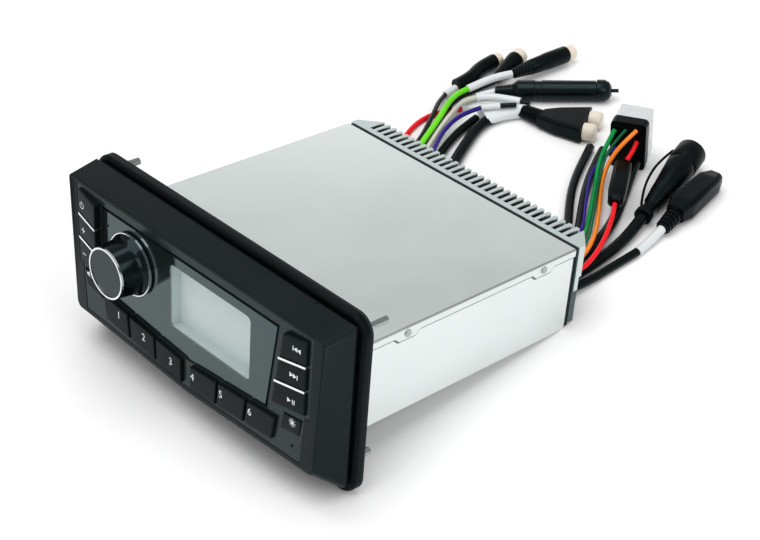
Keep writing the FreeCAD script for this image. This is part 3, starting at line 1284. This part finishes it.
lead_cables = [
    tube("tapered_plug_cable", plug_cable, route([
        (-80, 126, 2.8), (-87, 141, 2.4), (-95, 155, 2.4), (-101, 168, 2.4), (-106, 181, 3.6),
        (-110, 193, 6.3), (-114, 205, 4.2), (-116, 216, 2.6), (-114.5, 227, 2.6), (-112, 236.8, 3.8)],
        (-75.5, -17))),
    tube("slim_twin_cable", slim_cable, route([
        (-66, 127, 2.9), (-72, 142, 2.8), (-79, 156, 2.8), (-84.5, 170, 2.8), (-88.3, 184, 2.8),
        (-89.5, 197, 3.1)],
        (-63, -16.8))),
    tube("thick_twin_cable", thick_cable, route([
        (-56, 129, 3.6), (-61, 146, 3.6), (-68.5, 161, 3.6), (-75, 175, 3.6), (-80, 187, 3.6),
        (-82.4, 198, 3.8)],
        (-54, -16.5))),
    tube("loom_cable", loom_cable, route([
        (56, 126, 3.9), (55, 141, 3.5), (51.8, 156, 3.5), (46.5, 171, 3.5), (39, 186, 3.5), (30.5, 201, 3.5),
        (23.2, 214, 4.6), (18.2, 224.6, 6.4)], (55.5, -16.6))),
    tube("remote_cable", thick_cable, route([
        (64.3, 126, 3.8), (64.3, 141, 3.6), (63.3, 156, 3.6), (61, 170.5, 4.3), (57.6, 184, 5.9)],
        (64, -16.5))),
    tube("network_cable", network_cable, route([
        (73, 125, 3), (73.2, 137, 2.7), (73.8, 149, 2.7), (74.5, 160, 2.9)], (72, -16.5))),
]
group("lead_cables", lead_cables)

twin_heading = (0.9, 0.44, 0)
lead_sleeves = [
    tube("red_wire_sleeve", red_sleeve, route([(-105.2, 199.9, 2.2), (-100.5, 205.5, 2.2), (-97, 210, 2.3)])),
    tube("brown_wire_sleeve", wire_sleeve, route([(-124, 203.3, 2.8), (-124.3, 208, 3.2), (-124, 213, 3.6)])),
    tube("lime_wire_sleeve", wire_sleeve, route([
        (-113, 212.8, 7.6), (-110.5, 225, 8.7), (-107, 235, 9.4), (-103.5, 243.5, 9)])),
    tube("grey_wire_sleeve", wire_sleeve, route([
        (-103, 210.3, 6.4), (-97, 217.5, 6.3), (-88.5, 223, 6), (-80, 227, 5.8)])),
    tube("aerial_wire_sleeve", socket_sleeve, route([
        (-107.5, 214.8, 3), (-105.2, 221, 3.5), (-101, 226, 4.6)])),
    tube("purple_wire_label", label_sleeve, route([
        (-87.2, 198.8, 11.1), (-84, 203.6, 11.1), (-80.2, 208.4, 11.1)])),
    tube("network_cable_sleeve", network_sleeve, route([(74.5, 160.3, 2.8), (74, 172, 3.6), (72.4, 184, 5)])),
    lofted("twin_cable_sleeve", [
        ((-86, 198.9, 4.4), (0.3, 0.95, 0), 15, 8.4, 4), ((-81.5, 210.5, 4.5), (0.5, 0.86, 0), 13.5, 8.6, 4),
        ((-72, 221, 4.8), (0.97, 0.25, 0), 9.2, 8.8, 4)]),
]
group("lead_sleeves", lead_sleeves)

shrink_sleeves = [
    tube("first_shrink_sleeve", shrink_sleeve, route([
        (30.9, 149.9, 3), (18, 165, 2.7), (5, 182, 2.7), (-6, 201, 2.7), (-16, 222, 2.7)])),
    tube("second_shrink_sleeve", shrink_sleeve, route([
        (37.9, 151.4, 3.1), (25, 168, 2.7), (11.5, 187, 2.7), (1, 205, 2.7), (-8.5, 225, 2.7)])),
    tube("red_wire_tip", tip_sleeve, route([(-96.8, 210.3, 2.3), (-94, 214.5, 2)])),
    tube("grey_wire_tip", tip_sleeve, route([(-79.7, 227.1, 5.8), (-74, 229.8, 5.6)])),
    tube("purple_wire_tip", tip_sleeve, route([(-80, 208.7, 11.1), (-73.4, 216.4, 11)])),
]
group("black_sleeves", shrink_sleeves)

long_start, long_end = (-103.3, 243.9, 8.9), (-97, 288.6, 7)
long_length = 45.2
taper_start, taper_end = (-111.9, 237.3, 4.6), (-117, 262, 6.6)
taper_length = 25.3
phono_plugs = [
    turned_between("long_plug", long_start, long_end,
                   ribs(0, 14, 3.2, 4.8, 6, 0.5) + [(14.5, 4.9), (26, 5.3), (28, long_plug_radius),
                                                      (long_length - 1, long_plug_radius), (long_length, 5)]),
    turned_between("tapered_plug", taper_start, taper_end,
                   [(0, 3.4), (8, 3.8), (18, 5.4), (taper_length - 1, taper_plug_radius),
                    (taper_length, 5.6)]),
    tube("angled_plug", elbow_radius * 2, route([
        (-123.9, 213.3, 4.9), (-123, 226, 5), (-128, 239, 5.4), (-127.4, 252, 5.4)])),
]
group("phono_plugs", phono_plugs)

twin_end = (-31, 234.5, 6.2)
twin_plug = fused(
    turned_between("twin_relief", (-71.4, 221.2, 4.9), (-56, 222, 5.8), ribs(0, 15.4, 4.4, 5.4, 6, 0.6)),
    lofted("twin_body", [
        ((-57, 222, 5.9), (0.99, 0.12, 0), 11, 9.6, 2.5), ((-47.5, 226, 6), twin_heading, 19, 10.6, 2.5),
        (twin_end, twin_heading, 28, 11.6, 2.5)]))
group("twin_plug", [twin_plug])


def cap_at(label, start, heading, radius, length):
    """A push-on cap, its mouth at start."""
    way = FreeCAD.Vector(*heading)
    way.normalize()
    end = FreeCAD.Vector(*start) + way * float(length)
    return turned_between(label, start, tuple(end), [(0, radius), (float(length) - 1, radius),
        (float(length), radius - 1)])


twin_side = 7.2
plug_caps = [
    cap_at("long_plug_cap", (-96.95, 288.9, 7), (0.14, 0.99, -0.04), 4.9, 6),
    cap_at("tapered_plug_cap", (-117.1, 262.3, 6.6), (-0.2, 0.98, 0.08), cap_radius, 6),
    cap_at("angled_plug_cap", (-127.4, 252.3, 5.4), (0.05, 1, 0), elbow_radius - 0.4, 5),
]
for label, side in (("far_twin_cap", 1), ("near_twin_cap", -1)):
    start = (twin_end[0] + 0.3 - side * 0.44 * twin_side, twin_end[1] + 0.15 + side * 0.9 * twin_side,
        twin_end[2])
    plug_caps.append(cap_at(label, start, twin_heading, cap_radius, cap_length))
group("plug_caps", plug_caps)

socket_start, socket_end = (-91, 232.5, 6.75), (-52.3, 267.8, 6.75)
aerial_socket = fused(
    turned_between("aerial_relief", (-100.7, 226.2, 4.8), (-90.5, 232.8, 6.7),
                   ribs(0, 12.2, 3.6, 4.6, 5, 0.5)),
    turned_between("aerial_body", socket_start, socket_end, [
        (0, 5), (2.5, socket_radius), (13, socket_radius), (13.6, 6.3), (17.5, 6.3), (18, socket_radius),
        (52.3, socket_radius)]))
group("aerial_socket", [aerial_socket])
group("socket_cap", [turned_between("socket_cap_dome", (-52, 268.1, 7.1), (-41.5, 277.7, 7.1), [
    (0, round_cap_radius), (5, round_cap_radius), (8, 5.4), (9.4, 3.2), (9.6, 1.2), (14, 1.2)])])

fuse_start, fuse_end = (43.4, 176, 13), (21.1, 209.6, 13.5)
fuse_heading = (-22.3, 33.6, 0.5)


def along(start, end, share):
    return tuple(first + (second - first) * share for first, second in zip(start, end))


group("fuse_holder", [lofted("fuse_body", [
    (fuse_start, fuse_heading, 6, 6, 2.9), (along(fuse_start, fuse_end, 0.06), fuse_heading, 9, 9, 3),
    (along(fuse_start, fuse_end, 0.22), fuse_heading, fuse_width, fuse_width, 2.5),
    (along(fuse_start, fuse_end, 0.9), fuse_heading, fuse_width, fuse_width, 2.5),
    (fuse_end, fuse_heading, 7, 7, 2.5)])])

multi_heading = (-0.438, 0.899, 0)
multi_foot = (12.5, 222.9)
multi_middle = float(multi_height) / 2 + 0.1


def behind(distance):
    """A point on the connector's axis, a distance behind its face."""
    return (multi_foot[0] + multi_heading[0] * distance, multi_foot[1] + multi_heading[1] * distance,
        multi_middle)


plate_back = float(multi_plate)
housing_back = plate_back + float(multi_housing)
group("multiway_connector", [lofted("multiway_plate", [
    (behind(0), multi_heading, multi_width, multi_height, 3),
    (behind(plate_back), multi_heading, multi_width, multi_height, 3)])])
group("multiway_housing", [lofted("multiway_shell", [
    (behind(plate_back + 0.2), multi_heading, multi_width - 1.5, multi_height - 1.5, 2),
    (behind(housing_back), multi_heading, multi_width - 1.5, multi_height - 1.5, 2)])])

remote_start, remote_end = (57.5, 184.3, 6), (39.5, 251.6, 10.6)
remote_profile = [(0, 5.4), (4, 5.4), (4.2, 3.9), (12, 3.9)] + ribs(12.2, 27, 5, 6.6, 6, 0.7)
remote_profile += [(27.4, 6.4), (50, 8.8), (52, 9), (52.2, 8.6), (53.6, 8.6), (53.8, remote_radius),
                   (68.4, remote_radius), (69.8, remote_radius - 1.4)]
group("remote_plug", [
    turned_between("remote_plug_body", remote_start, remote_end, remote_profile),
    tube("cap_lanyard", lanyard_cord, route([
        (50.2, 192, 7), (43.5, 201, 7.6), (36.5, 214, 8.6), (31.2, 230, 9.8), (30.6, 244, 10.6)])),
])

network_heading = (-0.14, 0.99, 0.02)
network_plug = fused(
    turned_between("network_relief", (72.4, 184.3, 5.3), (69.9, 199.2, 6.6), ribs(0, 15, 4.4, 5.4, 5, 0.7)),
    lofted("network_body", [
        ((70, 198.5, 6.9), network_heading, 11.5, 10.5, 3),
        ((68.9, 206, 7), network_heading, network_width, network_height, 3),
        ((64.7, 236, 7), network_heading, network_width - 1, network_height - 0.5, 3),
        ((63.8, 243, 7), network_heading, 10, 9, 3)]))
group("network_plug", [network_plug])

# The finished parts are looked over before anything is written
doc.recompute()
for item in doc.Objects:
    if "Invalid" in item.State or "Error" in item.State:
        raise RuntimeError(f"{item.Label} did not build: {item.State}")
for part in parts:
    if part.Shape.isNull() or not part.Shape.isValid():
        raise RuntimeError(f"{part.Label} has no sound shape")
labels = [part.Label for part in parts]
if len(set(labels)) != len(labels):
    raise RuntimeError("two parts share a name")

os.makedirs("parts", exist_ok=True)
for part in parts:
    part.Shape.exportStep(f"parts/{part.Label}.step")
print("parts written:", len(parts))
